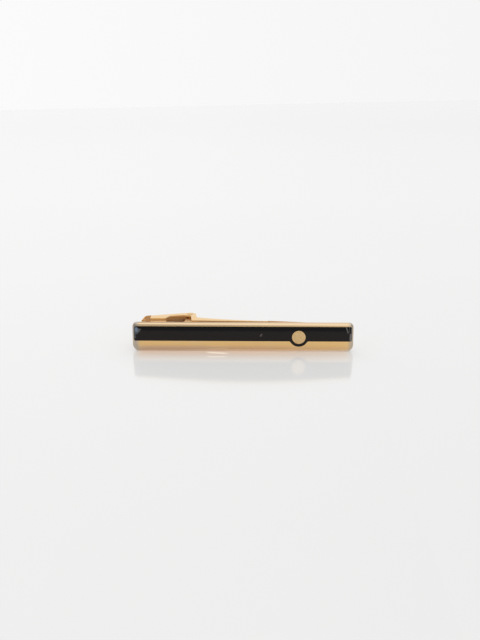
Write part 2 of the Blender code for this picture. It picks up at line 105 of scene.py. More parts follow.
def fillet(before: Array, corner: Array, after: Array, radius: float, steps: int) -> Array:
    """The arc that rounds a corner and touches both of its sides.

    Its centre lies on the corner's bisector at radius / sin(half the corner's angle).

    Args:
        before: A point on the side that comes in.
        corner: The sharp corner.
        after: A point on the side that goes out.
        radius: The arc's radius.
        steps: Number of steps along it.

    Returns:
        An array of steps + 1 points, from the first side to the second.
    """
    inward = unit(before - corner)
    outward = unit(after - corner)
    half = math.acos(float(inward @ outward)) / 2.0
    centre = corner + unit(inward + outward) * radius / math.sin(half)
    reach = radius / math.tan(half)
    first = corner + inward * reach - centre
    last = corner + outward * reach - centre
    start = math.atan2(first[1], first[0])
    turn = (math.atan2(last[1], last[0]) - start + math.pi) % (2.0 * math.pi) - math.pi
    return arc(centre, radius, math.degrees(start), math.degrees(start + turn), steps)


def ease(value: Array, start: float, end: float) -> Array:
    """A smooth step, 3 s^2 - 2 s^3, of the share s of the way from start to end."""
    share = np.clip((value - start) / (end - start), 0.0, 1.0)
    return share * share * (3.0 - 2.0 * share)


def resample(path: Array, spacing: float) -> Array:
    """A polyline's points moved to even distances of about a spacing, with both ends kept."""
    steps = np.linalg.norm(np.diff(path, axis=0), axis=1)
    along = np.concatenate([[0.0], np.cumsum(steps)])
    places = np.linspace(0.0, along[-1], math.ceil(along[-1] / spacing) + 1)
    return np.stack([np.interp(places, along, column) for column in path.T], axis=1)


# Meshes


def grid_faces(rows: int, columns: int, closed: bool) -> list:
    """Corner numbers of the quads between the points of a grid.

    Args:
        rows: Number of rows.
        columns: Number of points in a row.
        closed: Whether the last column joins the first.

    Returns:
        A list with four point numbers for each quad.
    """
    numbers = np.arange(rows * columns).reshape(rows, columns)
    after = np.roll(numbers, -1, axis=1)
    quads = np.stack([numbers[:-1], numbers[1:], after[1:], after[:-1]], axis=-1)
    return (quads if closed else quads[:, :-1]).reshape(-1, 4).tolist()


def new_object(name: str, points: Array, faces: list) -> bpy.types.Object:
    """An object at the origin.

    Args:
        name: Its name.
        points: Its points in millimetres, in rows or on a grid.
        faces: Lists of point numbers.

    Returns:
        The object.
    """
    mesh = bpy.data.meshes.new(name)
    mesh.from_pydata((points.reshape(-1, 3) * MM).tolist(), [], faces)
    obj = bpy.data.objects.new(name, mesh)
    bpy.context.scene.collection.objects.link(obj)
    return obj


def ringed_solid(name: str, rings: Array) -> bpy.types.Object:
    """A closed solid whose skin runs through rings of points and ends in two flat caps.

    Args:
        name: The object's name.
        rings: An array of rings, points in a ring, and coordinates.

    Returns:
        The new object, with its faces turned outwards.
    """
    count, around = rings.shape[:2]
    faces = grid_faces(count, around, closed=True)
    faces.append(list(range(around)))
    faces.append(list(range((count - 1) * around, count * around)))
    obj = new_object(name, rings, faces)
    work = bmesh.new()
    work.from_mesh(obj.data)
    bmesh.ops.recalc_face_normals(work, faces=work.faces)
    work.to_mesh(obj.data)
    work.free()
    return obj


def upright_ring(outline: Array, y: float) -> Array:
    """An outline in X and Z, set upright at a depth Y."""
    return in_rows(outline[:, 0], y, outline[:, 1])


def prism(outline: Array, front: float, back: float) -> bpy.types.Object:
    """A solid with one outline in X and Z, between two depths."""
    return ringed_solid("prism", np.stack([upright_ring(outline, y) for y in (front, back)]))


def turned_rings(profile: Array, centre: Sequence[float]) -> Array:
    """Circles round an upright axis: radius and height go from each point of the profile.

    Args:
        profile: Rows of radius and height.
        centre: The axis's X and Y.

    Returns:
        An array of rings.
    """
    turn = np.linspace(0.0, 2.0 * math.pi, ROUND_STEPS, endpoint=False)
    radius, height = profile[:, :1], profile[:, 1:]
    x = centre[0] + radius * np.cos(turn)
    y = centre[1] + radius * np.sin(turn)
    return np.stack([x, y, np.broadcast_to(height, x.shape)], axis=-1)


def apply_modifiers(obj: bpy.types.Object) -> None:
    """Replaces an object's mesh by what its modifiers make of it."""
    bpy.context.view_layer.update()
    graph = bpy.context.evaluated_depsgraph_get()
    mesh = bpy.data.meshes.new_from_object(obj.evaluated_get(graph))
    obj.modifiers.clear()
    obj.data = mesh


def carve(obj: bpy.types.Object, other: bpy.types.Object, cut: Cut = Cut.AWAY) -> bpy.types.Object:
    """Cuts an object with a solid, which is used up.

    Args:
        obj: The object.
        other: The solid.
        cut: Whether the solid's space goes away or is kept.

    Returns:
        The cut object.
    """
    modifier = obj.modifiers.new("cut", "BOOLEAN")
    modifier.operation = cut.value
    modifier.solver = "EXACT"
    modifier.object = other
    apply_modifiers(obj)
    bpy.data.objects.remove(other, do_unlink=True)
    return obj


def shade_smooth(obj: bpy.types.Object, degrees: float = 32.0) -> None:
    """Smooth shading with edges sharper than an angle kept sharp."""
    obj.data.shade_smooth()
    obj.data.set_sharp_from_angle(angle=math.radians(degrees))


# Shader maths

Number = Union[float, "Term"]


def add_node(tree: bpy.types.NodeTree, kind: str, values: dict, **settings: str) -> bpy.types.Node:
    """A new node in a tree.

    Args:
        tree: The tree.
        kind: The node's type.
        values: What feeds its sockets, by their names or numbers.
        **settings: The node's own settings, which are set first.

    Returns:
        The node.
    """
    node = tree.nodes.new(kind)
    for name, value in settings.items():
        setattr(node, name, value)
    for name, value in values.items():
        feed(node.inputs[name], value)
    return node


def feed(place: bpy.types.NodeSocket, value: Union[Number, Sequence[float]]) -> None:
    """Links a term to a socket, or gives it a number, a vector or a colour."""
    if isinstance(value, Term):
        place.id_data.links.new(value.socket, place)
    else:
        place.default_value = (*value, 1.0) if place.type == "RGBA" else value


class Term:
    """A shader's value that Python arithmetic can be used on."""

    def __init__(self, socket: bpy.types.NodeSocket) -> None:
        """Wraps one output socket of a node."""
        self.socket = socket

    def maths(self, operation: str, *values: Number) -> "Term":
        """The result of a Math node with this operation on the values."""
        values = dict(enumerate(values))
        return Term(add_node(self.socket.id_data, "ShaderNodeMath", values, operation=operation).outputs[0])

    def __add__(self, other: Number) -> "Term":
        """This plus the other."""
        return self.maths("ADD", self, other)

    def __sub__(self, other: Number) -> "Term":
        """This minus the other."""
        return self.maths("SUBTRACT", self, other)

    def __rsub__(self, other: Number) -> "Term":
        """The other minus this."""
        return self.maths("SUBTRACT", other, self)

    def __mul__(self, other: Number) -> "Term":
        """This times the other."""
        return self.maths("MULTIPLY", self, other)

    def __pow__(self, other: Number) -> "Term":
        """This to the power of the other."""
        return self.maths("POWER", self, other)

    __radd__ = __add__
    __rmul__ = __mul__

    def size(self) -> "Term":
        """This without its sign."""
        return self.maths("ABSOLUTE", self)

    def largest(self, other: Number) -> "Term":
        """The larger of this and the other."""
        return self.maths("MAXIMUM", self, other)

    def smallest(self, other: Number) -> "Term":
        """The smaller of this and the other."""
        return self.maths("MINIMUM", self, other)

    def step(self, start: float, end: float) -> "Term":
        """0 up to start and 1 from end on, with a smooth climb between. Start may be the larger."""
        limits = (end, start, 1.0, 0.0) if start > end else (start, end, 0.0, 1.0)
        values = dict(enumerate((self, *limits)))
        kind = "ShaderNodeMapRange"
        return Term(add_node(self.socket.id_data, kind, values, interpolation_type="SMOOTHSTEP").outputs[0])


class Nodes:
    """A node tree that expressions are added to."""

    def __init__(self, tree: bpy.types.NodeTree) -> None:
        """Takes hold of a tree."""
        self.tree = tree

    def node(self, kind: str, values: dict, output: Union[int, str] = 0, **settings: str) -> Term:
        """One output of a new node."""
        return Term(add_node(self.tree, kind, values, **settings).outputs[output])

    def split(self, vector: Term) -> list[Term]:
        """The three coordinates of a vector."""
        parts = add_node(self.tree, "ShaderNodeSeparateXYZ", {"Vector": vector})
        return [Term(output) for output in parts.outputs]

    def seen_rays(self) -> Term:
        """1 for a ray that is seen, mirrored or let through, and 0 for one that only lights."""
        rays = add_node(self.tree, "ShaderNodeLightPath", {})
        names = ("Is Camera Ray", "Is Glossy Ray", "Is Transmission Ray")
        return reduce(Term.largest, (Term(rays.outputs[name]) for name in names))

    def blend(self, output: str, share: Number, first: Term, second: Term) -> None:
        """Sends a mix of two shaders to the tree's output of this name."""
        mix = self.node("ShaderNodeMixShader", {0: share, 1: first, 2: second})
        feed(self.tree.nodes[output].inputs["Surface"], mix)


class Paint(Nodes):
    """A material built up from expressions, around one Principled shader."""

    def __init__(self, name: str) -> None:
        """Starts a material of this name, with its coordinates in millimetres."""
        self.material = bpy.data.materials.new(name)
        self.material.use_nodes = True
        super().__init__(self.material.node_tree)
        self.shader = self.tree.nodes["Principled BSDF"]
        self.place = self.stretched(self.node("ShaderNodeTexCoord", {}, "Object"), (1.0 / MM,) * 3)
        self.x, self.y, self.z = self.split(self.place)

    def stretched(self, vector: Term, factors: Sequence[float]) -> Term:
        """A vector with its coordinates multiplied by three factors."""
        return self.node("ShaderNodeVectorMath", {0: vector, 1: factors}, operation="MULTIPLY")

    def noise(self, scale: float, detail: float = 3.0, stretch: Sequence[float] = (1.0, 1.0, 1.0)) -> Term:
        """Soft noise from 0 to 1.

        Args:
            scale: Features per millimetre.
            detail: Octaves of finer noise.
            stretch: Factors on the three coordinates; a small one draws the noise out.

        Returns:
            The noise's value.
        """
        place = self.stretched(self.place, stretch)
        values = {"Vector": place, "Scale": scale, "Detail": detail, "Roughness": NOISE_ROUGHNESS}
        return self.node("ShaderNodeTexNoise", values)

    def mix(self, share: Number, first: Union[Colour, Term], second: Union[Colour, Term]) -> Term:
        """A colour between two, by a share from 0 to 1."""
        return self.node("ShaderNodeMix", {0: share, 6: first, 7: second}, 2, data_type="RGBA")

    def layered(self, ground: Union[Colour, Term], layers: Sequence[tuple]) -> Term:
        """A colour with others laid over it one by one, each with its share from 0 to 1."""
        return reduce(lambda below, layer: self.mix(layer[0], below, layer[1]), layers, ground)

    def line(self, first: Pair, last: Pair, width: float) -> Term:
        """A mask along a straight mark in X and Z: 1 on the line, and 0 from its width on.

        The distance is that of a point to the nearest point of the segment.

        Args:
            first: X and Z of one end.
            last: X and Z of the other.
            width: Half of the mark's width.

        Returns:
            The mask.
        """
        run = (last[0] - first[0], last[1] - first[1])
        dx = self.x - first[0]
        dz = self.z - first[1]
        share = (dx * run[0] + dz * run[1]) * (1.0 / (run[0] ** 2 + run[1] ** 2))
        share = share.largest(0.0).smallest(1.0)
        off_x = dx - share * run[0]
        off_z = dz - share * run[1]
        return ((off_x * off_x + off_z * off_z) ** 0.5).step(width, 0.0)

    def set(self, **values: Union[Number, Colour]) -> None:
        """Feeds sockets of the shader: base_color=..., roughness=... and so on."""
        titles = {title.lower().replace(" ", "_"): title for title in self.shader.inputs.keys()}
        for name, value in values.items():
            feed(self.shader.inputs[titles[name]], value)

    def bump(self, height: Term, depth: float) -> None:
        """Feeds a height, in shares of a depth in millimetres, to the shader's normal."""
        values = {"Height": height, "Distance": depth * MM, "Strength": 1.0}
        self.set(normal=self.node("ShaderNodeBump", values))


# Finishes


@dataclass(frozen=True)
class GoldPlate:
    """Polished gold plate with faint hairlines along X, and warmer and paler patches."""

    name: str
    colour: Colour = (0.80, 0.535, 0.235)
    pale: Colour = (0.83, 0.60, 0.33)
    warm: Colour = (0.70, 0.42, 0.14)
    roughness: float = 0.15
    metallic: float = 1.0
    side_metallic: float = 1.0
    side_heights: Pair = (0.6, 6.8)
    hairline: float = 0.0006

    def start(self) -> tuple[Paint, Term, Term, Term]:
        """The plate before any local marks.

        Its metallic share changes beyond two heights, on the clip's lower and upper sides.

        Returns:
            The paint, the base colour, the roughness and the hairlines.
        """
        paint = Paint(self.name)
        patches = paint.noise(0.22, 4.0)
        layers = (
            (patches.step(0.35, 0.8) * 0.4, self.pale),
            (paint.noise(1.3).step(0.5, 0.85) * 0.06, self.warm),
        )
        hairs = paint.noise(7.0, 2.0, (0.05, 1.0, 1.0))
        roughness = self.roughness + patches * 0.05 + hairs.step(0.55, 0.75) * 0.07
        low, high = self.side_heights
        on_side = paint.z.step(low + 0.1, low).largest(paint.z.step(high - 0.1, high))
        paint.set(metallic=self.metallic + on_side * (self.side_metallic - self.metallic))
        return paint, paint.layered(self.colour, layers), roughness, hairs

    def material(self) -> bpy.types.Material:
        """The finished material."""
        paint, colour, roughness, hairs = self.start()
        paint.set(base_color=colour, roughness=roughness)
        paint.bump(hairs, self.hairline)
        return paint.material


@dataclass(frozen=True)
class BarGoldPlate(GoldPlate):
    """Gold plate of the bar: a satin disc; a top rim painted paler as a highlight; grey ends, rubbed plating
    with painted reflection; painted shade on the lower edge and on the top face's flat; and painted light on
    the lower edge's foot.
    """

    side: float = 28.5
    top: float = 7.4
    disc: Pair = (0.0, 0.0)
    disc_radius: float = 1.73
    satin: Colour = (0.72, 0.47, 0.20)
    satin_roughness: float = 0.34
    grain: float = 0.012
    # The top rim's colour is a painted highlight: paler, as the rounded edge looks where it mirrors the
    # bright room.
    rim: Colour = (0.86, 0.65, 0.41)
    # Grey of the ends: rubbed plating, and painted reflection of the grey room beside them.
    worn_and_mirrored: Colour = (0.51, 0.45, 0.385)
    # Painted shade of the lower edge, where it mirrors the shadowed floor.
    lower_shade: Colour = (0.60, 0.48, 0.37)
    # Painted shade on the flat of the top face, where it mirrors the clip's parts behind the bar.
    shaded: Colour = (0.36, 0.20, 0.06)
    # Painted light on the foot of the lower edge, which lightens the shade where it meets the floor.
    foot: Colour = (0.98, 0.86, 0.68)
    left_wear: Pair = (2.2, 0.8)
    right_wear: Pair = (1.7, 0.5)
    right_strength: float = 0.85
    edge_height: Pair = (2.0, 0.6)
    foot_height: Pair = (0.8, 0.15)
    rim_depth: Pair = (0.95, 0.35)
    flat_depth: Pair = (0.4, 0.1)
    flat_start: Pair = (-0.45, -0.1)
    disc_face: Pair = (-0.6, -0.7)
    disc_edge: float = 0.04

    def uneven(self, noise: Term) -> Term:
        """A factor from 0.75 to 1 that makes the grey ends and the lower edge's painted shade patchy."""
        return noise.step(0.2, 0.6) * 0.25 + 0.75

    def end_wear_and_mirror(self, paint: Paint) -> Term:
        """Where the plate is grey at both ends of the bar: rubbed plating, and painted reflection of the grey
        room beside the ends.
        """
        left = (paint.x + self.side).step(*self.left_wear)
        right = (self.side - paint.x).step(*self.right_wear) * self.right_strength
        return left.largest(right) * self.uneven(paint.noise(0.9))

    def lower_edge_shade(self, paint: Paint) -> Term:
        """Painted shade along the lower edge, which mirrors the floor in the bar's own shadow, most to the
        left.
        """
        along = paint.x.step(24.0, -16.0) * 0.65 + 0.3
        return paint.z.step(*self.edge_height) * along * self.uneven(paint.noise(0.7, 3.0, (0.4, 1.0, 1.0)))

    def lit_foot(self, paint: Paint) -> Term:
        """Painted light on the foot of the lower edge, paler than the rest, and most to the right."""
        return paint.z.step(*self.foot_height) * (paint.x.step(-20.0, 0.0) * 0.5 + 0.4)

    def back_edge_shade(self, paint: Paint) -> Term:
        """Painted shade on the flat of the top face, which mirrors the clip behind it: darker than its
        rounded edge, and most in front of the hinge.
        """
        along = paint.x.step(16.0, -16.0) * 0.65 + 0.3
        return paint.y.step(*self.flat_start) * (self.top - paint.z).step(*self.flat_depth) * along

    def on_disc(self, paint: Paint) -> Term:
        """1 on the disc's face and 0 off it."""
        dx = paint.x - self.disc[0]
        dz = paint.z - self.disc[1]
        inside = ((dx * dx + dz * dz) ** 0.5).step(self.disc_radius, self.disc_radius - self.disc_edge)
        return inside * paint.y.step(*self.disc_face)

    def material(self) -> bpy.types.Material:
        """The finished material."""
        paint, colour, roughness, hairs = self.start()
        on_disc = self.on_disc(paint)
        grain = paint.noise(5.0)
        ends_wear_and_mirror = self.end_wear_and_mirror(paint)
        # Painted light and shade over the plate: the rim's highlight, the lower edge's shade, the foot's
        # light and the top face's shade; the grey ends are rubbed plating with painted reflection.
        layers = (
            ((self.top - paint.z).step(*self.rim_depth), self.rim),
            (self.lower_edge_shade(paint), self.lower_shade),
            (self.lit_foot(paint), self.foot),
            (self.back_edge_shade(paint), self.shaded),
            (ends_wear_and_mirror, self.worn_and_mirrored),
            (on_disc, paint.mix(grain.step(0.3, 0.7), self.satin, self.pale)),
        )
        roughness = roughness + ends_wear_and_mirror * 0.1 + on_disc * (self.satin_roughness - self.roughness)
        paint.set(base_color=paint.layered(colour, layers), roughness=roughness)
        paint.bump(hairs * (self.hairline / self.grain) + grain * on_disc, self.grain)
        return paint.material


@dataclass(frozen=True)
class Mark:
    """A grey mark on the enamel, straight between two points in X and Z: a rubbed spot, and at the right end
    also a painted highlight.
    """

    first: Pair
    last: Pair
    half_width: float
    strength: float


@dataclass(frozen=True)
class BlackEnamel:
    """Hard black enamel, glossy, with painted reflection: lighter below, a grey sheen with a bluish upper
    part at its left end, and grey marks at its right end that are painted highlights and rubbed spots; and a
    speck.
    """

    name: str
    colour: Colour = (0.0012, 0.0008, 0.0010)
    # Painted reflection: the colour towards the lower edge, lighter than the black above.
    lower: Colour = (0.0150, 0.0120, 0.0115)
    # Grey of the marks: rubbed ground, and at the right end also painted highlight.
    bare_and_glint: Colour = (0.36, 0.34, 0.32)
    # Grey of a painted sheen at the left end, where the enamel is also rougher.
    dull_and_sheen: Colour = (0.10, 0.11, 0.115)
    # A cool painted reflection in the upper left of that sheen.
    cool: Colour = (0.19, 0.25, 0.34)
    left: float = -28.1
    top: float = 6.64
    marks: tuple[Mark, ...] = ()

    def end_dull_and_sheen(self, paint: Paint) -> tuple[Term, Term]:
        """Where the left end shows a painted sheen and is rougher: a ragged patch, on a strip along the end.

        The patch reaches 2.15 mm in at 0.9 mm below the top. It falls back by 0.76 mm per
        millimetre below that and by 2.2 mm above.

        Returns:
            The share of the painted sheen, and of its cool painted reflection in the patch's upper left.
        """
        ragged = paint.noise(1.7) * 0.9 - 0.45
        inward = paint.x - self.left + ragged
        below = self.top - paint.z - 0.9
        reach = 2.15 - below.largest(0.0) * 0.76 + below.smallest(0.0) * 2.2
        patch = (reach - inward).step(0.0, 0.5) * below.step(1.5, 0.9)
        strip = inward.step(0.7, 0.2) * below.step(2.7, 2.1) * 0.8
        off_core = ((inward - 0.75) * 1.5) ** 2.0 + below * below
        return patch.largest(strip), off_core.step(0.55, 0.1) * 0.9

    def worn_and_mirrored(self, paint: Paint) -> Term:
        """How far the marks show grey, each with its own strength: rubbed spots, and at the right end also
        painted highlights.
        """
        shares = [paint.line(mark.first, mark.last, mark.half_width) * mark.strength for mark in self.marks]
        return reduce(Term.largest, shares) * paint.noise(3.5).step(0.25, 0.55)

    def material(self) -> bpy.types.Material:
        """The finished material."""
        paint = Paint(self.name)
        haze = paint.noise(0.5, 4.0)
        streaks = paint.noise(6.0, 2.0, (0.06, 1.0, 1.0))
        depth = self.top - paint.z + haze * 0.5
        end_dull_and_sheen, cool = self.end_dull_and_sheen(paint)
        worn_and_mirrored = self.worn_and_mirrored(paint)
        # Painted reflection lies over the black: lighter below, and the sheen at the left end with its cool
        # upper part; the marks are rubbed spots, and at the right end also painted highlights.
        layers = (
            (depth.step(1.0, 1.9), self.lower),
            (end_dull_and_sheen, self.dull_and_sheen),
            (cool, self.cool),
            (worn_and_mirrored, self.bare_and_glint),
        )
        colour = paint.layered(self.colour, layers)
        dull_and_sheen = worn_and_mirrored.largest(end_dull_and_sheen).largest(cool) * 0.4
        roughness = 0.045 + haze * 0.05 + streaks.step(0.55, 0.8) * 0.05 + dull_and_sheen
        paint.set(base_color=colour, specular_ior_level=0.15, roughness=roughness)
        paint.bump(streaks * 0.25 + haze, 0.0025)
        return paint.material


@dataclass(frozen=True)
class SpringSteel:
    """Drawn wire of a straw colour, with fine streaks."""

    name: str
    colour: Colour = (0.50, 0.36, 0.20)
    tint: Colour = (0.42, 0.28, 0.13)

    def material(self) -> bpy.types.Material:
        """The finished material."""
        paint = Paint(self.name)
        streaks = paint.noise(9.0, 2.0)
        colour = paint.mix(paint.noise(0.8).step(0.4, 0.8) * 0.6, self.colour, self.tint)
        paint.set(base_color=colour, metallic=1.0, roughness=0.24 + streaks * 0.14)
        paint.bump(streaks, 0.003)
        return paint.material


Finish = Union[GoldPlate, BlackEnamel, SpringSteel]


# Shared places


@dataclass(frozen=True)
class Layout:
    """Sizes and places that several pieces share, in millimetres."""

    length: float = 57.0
    height: float = 7.4
    thickness: float = 1.8
    pin_x: float = -14.2
    pin_rise: float = 9.1
    pin_radius: float = 0.45
    sheet: float = 0.4
    bend_radius: float = 0.45
    clip_width: float = 7.0
    ear_clearance: float = 0.1
    ear_side_gap: float = 0.7
    running_clearance: float = 0.04
    solder_gap: float = 0.02
    knuckle_radius: float = 1.6
    ear_spread: float = 0.5
    lip_reach: float = 12.3
    lip_lean: float = 0.45
    finger_rise: float = 7.0
    spring_wall_inset: float = 0.55

    @property
    def side(self) -> float:
        """X of the bar's right end."""
        return self.length / 2.0

    @property
    def back(self) -> float:
        """Y of the bar's back."""
        return self.thickness / 2.0

    @property
    def middle(self) -> float:
        """Z of the middle of the bar's height."""
        return self.height / 2.0

    @property
    def pin(self) -> Array:
        """X and Y of the pin's axis."""
        return np.array([self.pin_x, self.back + self.pin_rise])

    @property
    def ear_half_width(self) -> float:
        """From the middle to the outside of an ear, inside the arm's cheek."""
        return self.clip_width / 2.0 - self.sheet - self.ear_side_gap

    @property
    def ear_radius(self) -> float:
        """Radius of an ear's top, inside the knuckle."""
        return self.knuckle_radius - self.sheet - self.ear_clearance

    @property
    def ear_foot(self) -> float:
        """Half of an ear's width where it meets its rail."""
        return self.ear_radius + self.ear_spread

    @property
    def wall_half_width(self) -> float:
        """From the middle to the outside of the walls beside the spring."""
        return self.clip_width / 2.0 - self.spring_wall_inset

    @property
    def lip_x(self) -> float:
        """X of the finger-piece's lip."""
        return self.pin_x - self.lip_reach

    @property
    def finger_corner(self) -> Array:
        """X and Y of the sharp corner between the lip and the finger-piece's web."""
        return np.array([self.lip_x + self.lip_lean, self.back + self.finger_rise])

    @property
    def finger_angle(self) -> float:
        """The angle at the pin, in degrees, where the finger-piece's web meets the knuckle."""
        return self.tangent(self.finger_corner, self.knuckle_radius, -1.0)

    def tangent(self, point: Array, radius: float, side: float) -> float:
        """The angle at the pin where a line from a point touches a circle round it.

        It is the angle towards the point, turned by acos(radius / distance).

        Args:
            point: X and Y of the point.
            radius: The circle's radius.
            side: 1 or -1, for which of the two lines.

        Returns:
            The angle in degrees, from -90 to 270.
        """
        away = point - self.pin
        angle = math.atan2(away[1], away[0]) + side * math.acos(radius / float(np.linalg.norm(away)))
        return (math.degrees(angle) + 90.0) % 360.0 - 90.0

    def round_pin(self, radius: float, degrees: float) -> Array:
        """The point at an angle on a circle round the pin."""
        return arc(self.pin, radius, degrees, degrees, 1)[0]


@dataclass
class Piece:
    """What every piece of the clip has: its layout and how it is handed over."""

    layout: Layout

    def dress(self, obj: bpy.types.Object, slot: Slot, node: str, *finishes: Finish) -> None:
        """Shades a piece, gives it its materials and says which solid it stands for.

        Args:
            obj: The finished piece.
            slot: The record's slot that it belongs to; not used.
            node: The solid that it replaces.
            *finishes: Its finishes, one for each of its material places.
        """
        shade_smooth(obj)
        while len(obj.data.materials) < len(finishes):
            obj.data.materials.append(None)
        for place, finish in enumerate(finishes):
            obj.data.materials[place] = finish.material()
        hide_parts(node)
        count = sum(len(face.vertices) - 2 for face in obj.data.polygons)
        log.info("%s stands for %s, with %d triangles", obj.name, node, count)


# The bar and its enamel


@dataclass
class Bar(Piece):
    """The bar, with rounded edges, a recess for the enamel and the disc left standing in it."""

    top_corner: float = 1.0
    bottom_corner: float = 1.7
    front_radius: float = 0.8
    back_radius: float = 0.3
    stripe_height: float = 3.9
    stripe_below_top: float = 0.76
    stripe_end_rim: float = 0.4
    stripe_corner: float = 0.5
    disc_radius: float = 1.73
    disc_from_end: float = 14.08
    disc_below_stripe_top: float = 2.82
    disc_steps: int = 96
    enamel_ring: float = 0.76
    bulge_fillet: float = 0.5
    enamel_depth: float = 0.4
    enamel_gap: float = 0.015
    corner_steps: int = 20
    rounding_steps: int = 20
    support: float = 0.02
    colour: Colour = (0.88, 0.575, 0.245)

    @property
    def stripe_top(self) -> float:
        """Z of the stripe's upper edge."""
        return self.layout.height - self.stripe_below_top

    @property
    def disc(self) -> Pair:
        """X and Z of the disc's middle."""
        return (self.layout.side - self.disc_from_end, self.stripe_top - self.disc_below_stripe_top)

    def corners(self, side: float, bottom: float, top: float, low: float, high: float) -> list[Array]:
        """Quarter circles that round the corners of a box in X and Z.

        Args:
            side: From the middle to each end.
            bottom: Z of its lower edge.
            top: Z of its upper edge.
            low: Radius of its lower corners.
            high: Radius of its upper corners.

        Returns:
            The points of each, anticlockwise from the lower left.
        """
        steps = self.corner_steps
        return [
            arc((-side + low, bottom + low), low, 180.0, 270.0, steps),
            arc((side - low, bottom + low), low, 270.0, 360.0, steps),
            arc((side - high, top - high), high, 0.0, 90.0, steps),
            arc((-side + high, top - high), high, 90.0, 180.0, steps),
        ]

    def outline(self, inset: float) -> Array:
        """The bar's outline in X and Z, drawn in by an inset."""
        side, top = self.layout.side - inset, self.layout.height - inset
        low, high = self.bottom_corner - inset, self.top_corner - inset
        return np.concatenate(self.corners(side, inset, top, low, high))

    def stripe(self, inset: float) -> Array:
        """The stripe's outline in X and Z, with its bulge round the disc, drawn in by an inset.

        The bulge is a circle round the disc, and a fillet circle touches it and the lower edge.
        """
        side = self.layout.side - self.stripe_end_rim - inset
        top = self.stripe_top - inset
        bottom = self.stripe_top - self.stripe_height + inset
        corner = self.stripe_corner - inset
        x, z = self.disc
        bulge = self.disc_radius + self.enamel_ring - inset
        small = self.bulge_fillet + inset
        rise = z - bottom + small
        run = math.sqrt((bulge + small) ** 2 - rise**2)
        lean = math.degrees(math.atan2(rise, run))
        steps = self.corner_steps
        lower_left, *others = self.corners(side, bottom, top, corner, corner)
        parts = [
            lower_left,
            arc((x - run, bottom - small), small, 90.0, lean, steps),
            arc((x, z), bulge, 180.0 + lean, 360.0 - lean, 4 * steps)[1:-1],
            arc((x + run, bottom - small), small, 180.0 - lean, 90.0, steps),
            *others,
        ]
        return np.concatenate(parts)

    def blank(self, name: str) -> bpy.types.Object:
        """The bar before its recess: outlines drawn in along a quarter circle at each face."""
        back = self.layout.back
        turn = np.radians(np.linspace(0.0, 90.0, self.rounding_steps + 1))
        front = self.front_radius
        rear = self.back_radius
        insets = [front + self.support, *(front * (1.0 - np.sin(turn)))]
        depths = [-back, *(-back + front * (1.0 - np.cos(turn)))]
        insets += [*(rear * (1.0 - np.cos(turn))), rear + self.support]
        depths += [*(back - rear * (1.0 - np.sin(turn))), back]
        rings = [upright_ring(self.outline(inset), y) for inset, y in zip(insets, depths)]
        return ringed_solid(name, np.stack(rings))

    def recess(self, inset: float, floor: float) -> bpy.types.Object:
        """The space of the enamel: the stripe less the disc, from before the face to a floor."""
        back = self.layout.back
        disc = arc(self.disc, self.disc_radius + inset, 0.0, 360.0, self.disc_steps)[:-1]
        space = prism(self.stripe(inset), -2.0 * back, floor)
        return carve(space, prism(disc, -3.0 * back, 2.0 * back))

    def build(self) -> None:
        """Builds the gold bar and the enamel in it, and hands both over."""
        floor = -self.layout.back + self.enamel_depth
        bar = carve(self.blank("gold_bar"), self.recess(0.0, floor))
        plate = BarGoldPlate(
            "bar_gold_plate", colour=self.colour, side=self.layout.side, top=self.layout.height,
            disc=self.disc, disc_radius=self.disc_radius
        )
        self.dress(bar, Slot.PLATE, "bar", plate)
        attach(bar, "bar")

        space = self.recess(self.enamel_gap, floor - self.enamel_gap)
        enamel = carve(self.blank("enamel_stripe"), space, Cut.KEEP)
        self.dress(enamel, Slot.ENAMEL, "enamel_inlay", self.enamel_finish())
        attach(enamel, "bar")

    def enamel_finish(self) -> BlackEnamel:
        """The enamel, with four grey marks at its right end that are painted highlights and rubbed spots, and
        a speck right of the middle.
        """
        right = self.layout.side - self.stripe_end_rim
        top = self.stripe_top
        # The four marks at the right end are painted highlights of its rounded end as well as rubbed spots;
        # the last is a speck.
        marks = (
            Mark((right - 1.5, top - 0.2), (right - 1.05, top - 1.6), 0.2, 0.6),
            Mark((right - 0.7, top - 0.1), (right - 0.8, top - 1.5), 0.14, 0.25),
            Mark((right - 0.42, top - 2.0), (right - 0.42, top - 3.7), 0.32, 0.6),
            Mark((right - 0.05, top - 0.1), (right - 0.05, top - 3.7), 0.3, 0.7),
            Mark((4.6, top - 2.45), (4.85, top - 2.1), 0.34, 0.38),
        )
        return BlackEnamel("stripe_black_enamel", left=-right, top=top, marks=marks)


# Folded sheet


